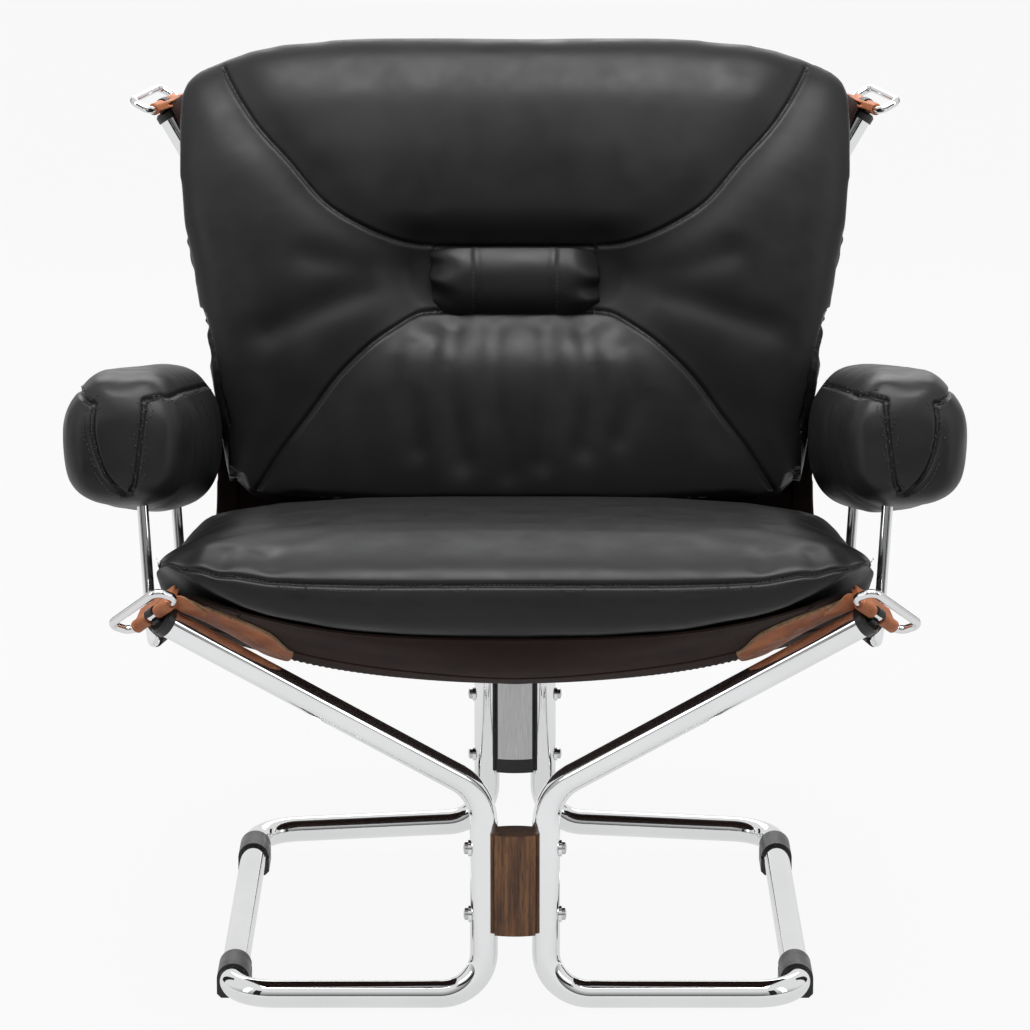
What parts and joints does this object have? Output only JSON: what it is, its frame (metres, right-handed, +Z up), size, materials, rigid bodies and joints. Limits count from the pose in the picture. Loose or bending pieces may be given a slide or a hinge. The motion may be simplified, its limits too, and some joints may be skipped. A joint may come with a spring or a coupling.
{
  "type": "lounge chair",
  "caption": "Low lounge chair with leather cushions in a canvas sling, held by its corners on two bent chrome tubes that form a floor loop and cantilevered arms.",
  "frame": {"origin": "floor level, under the middle of the chair's bounding box", "axes": "+Z up, -Y the way the sitter faces, +X the sitter's left"},
  "size_m": [0.792, 0.7974, 0.815],
  "materials": {
    "tube_chrome": "polished chrome plate",
    "ring_chrome": "polished chrome plate",
    "bolt_steel": "bright zinc",
    "black_plastic": "moulded black",
    "tan_leather": "saddle leather with raw edges",
    "brown_canvas": "dark brown canvas",
    "black_leather": "soft black leather",
    "foam": "upholstery foam and fibre",
    "plywood": "raw plywood",
    "walnut": "oiled walnut, upright grain",
    "black_block": "satin black",
    "plate": "satin, blank"
  },
  "bodies": {
    "base": {"frame_tube_left": "tube_chrome", "frame_tube_right": "tube_chrome", "cap_front_left": "black_plastic", "cap_rear_left": "black_plastic", "cap_front_right": "black_plastic", "cap_rear_right": "black_plastic", "strap_front_left": "tan_leather", "strap_rear_left": "tan_leather", "strap_front_right": "tan_leather", "strap_rear_right": "tan_leather", "canvas_sling": "brown_canvas", "seat_cushion": "black_leather", "seat_foam": "foam", "back_cushion": "black_leather", "back_foam": "foam", "arm_sleeve_left": "brown_canvas", "arm_sleeve_right": "brown_canvas", "front_spacer": "walnut", "rear_spacer": "black_block", "rear_plate": "plate", "front_bolts": "bolt_steel", "front_nuts": "bolt_steel", "front_washers": "bolt_steel", "rear_bolts": "bolt_steel", "rear_nuts": "bolt_steel", "rear_washers": "bolt_steel", "glide_front_left": "black_plastic", "glide_rear_left": "black_plastic", "glide_front_right": "black_plastic", "glide_rear_right": "black_plastic"},
    "ring_front_left": {"ring_front_left": "ring_chrome"},
    "ring_rear_left": {"ring_rear_left": "ring_chrome"},
    "ring_front_right": {"ring_front_right": "ring_chrome"},
    "ring_rear_right": {"ring_rear_right": "ring_chrome"},
    "arm_left": {"arm_rod_left": "tube_chrome", "arm_board_left": "plywood", "arm_pad_left": "black_leather"},
    "arm_right": {"arm_rod_right": "tube_chrome", "arm_board_right": "plywood", "arm_pad_right": "black_leather"}
  },
  "joints": [
    {"name": "ring_front_left_swing", "type": "hinge", "parent": "base", "child": "ring_front_left", "pos_m": [0.31181, -0.35613, 0.40725], "axis": [-0.637, -0.5222, 0.567], "range_deg": [-80, 4]},
    {"name": "ring_front_right_swing", "type": "hinge", "parent": "base", "child": "ring_front_right", "pos_m": [-0.31181, -0.35613, 0.40725], "axis": [-0.637, 0.5222, -0.567], "range_deg": [-80, 4]},
    {"name": "ring_rear_left_swing", "type": "hinge", "parent": "base", "child": "ring_rear_left", "pos_m": [0.34579, 0.3589, 0.73912], "axis": [0.3424, -0.938, -0.0542], "range_deg": [-80, 55]},
    {"name": "ring_rear_right_swing", "type": "hinge", "parent": "base", "child": "ring_rear_right", "pos_m": [-0.34579, 0.3589, 0.73912], "axis": [0.3424, 0.938, 0.0542], "range_deg": [-80, 55]},
    {"name": "arm_left_lean", "type": "hinge", "parent": "base", "child": "arm_left", "pos_m": [0.319, -0.06668, 0.31784], "axis": [0, 0.9792, -0.2028], "range_deg": [0, 10]},
    {"name": "arm_right_lean", "type": "hinge", "parent": "base", "child": "arm_right", "pos_m": [-0.319, -0.06668, 0.31784], "axis": [0, -0.9792, 0.2028], "range_deg": [0, 10]}
  ]
}
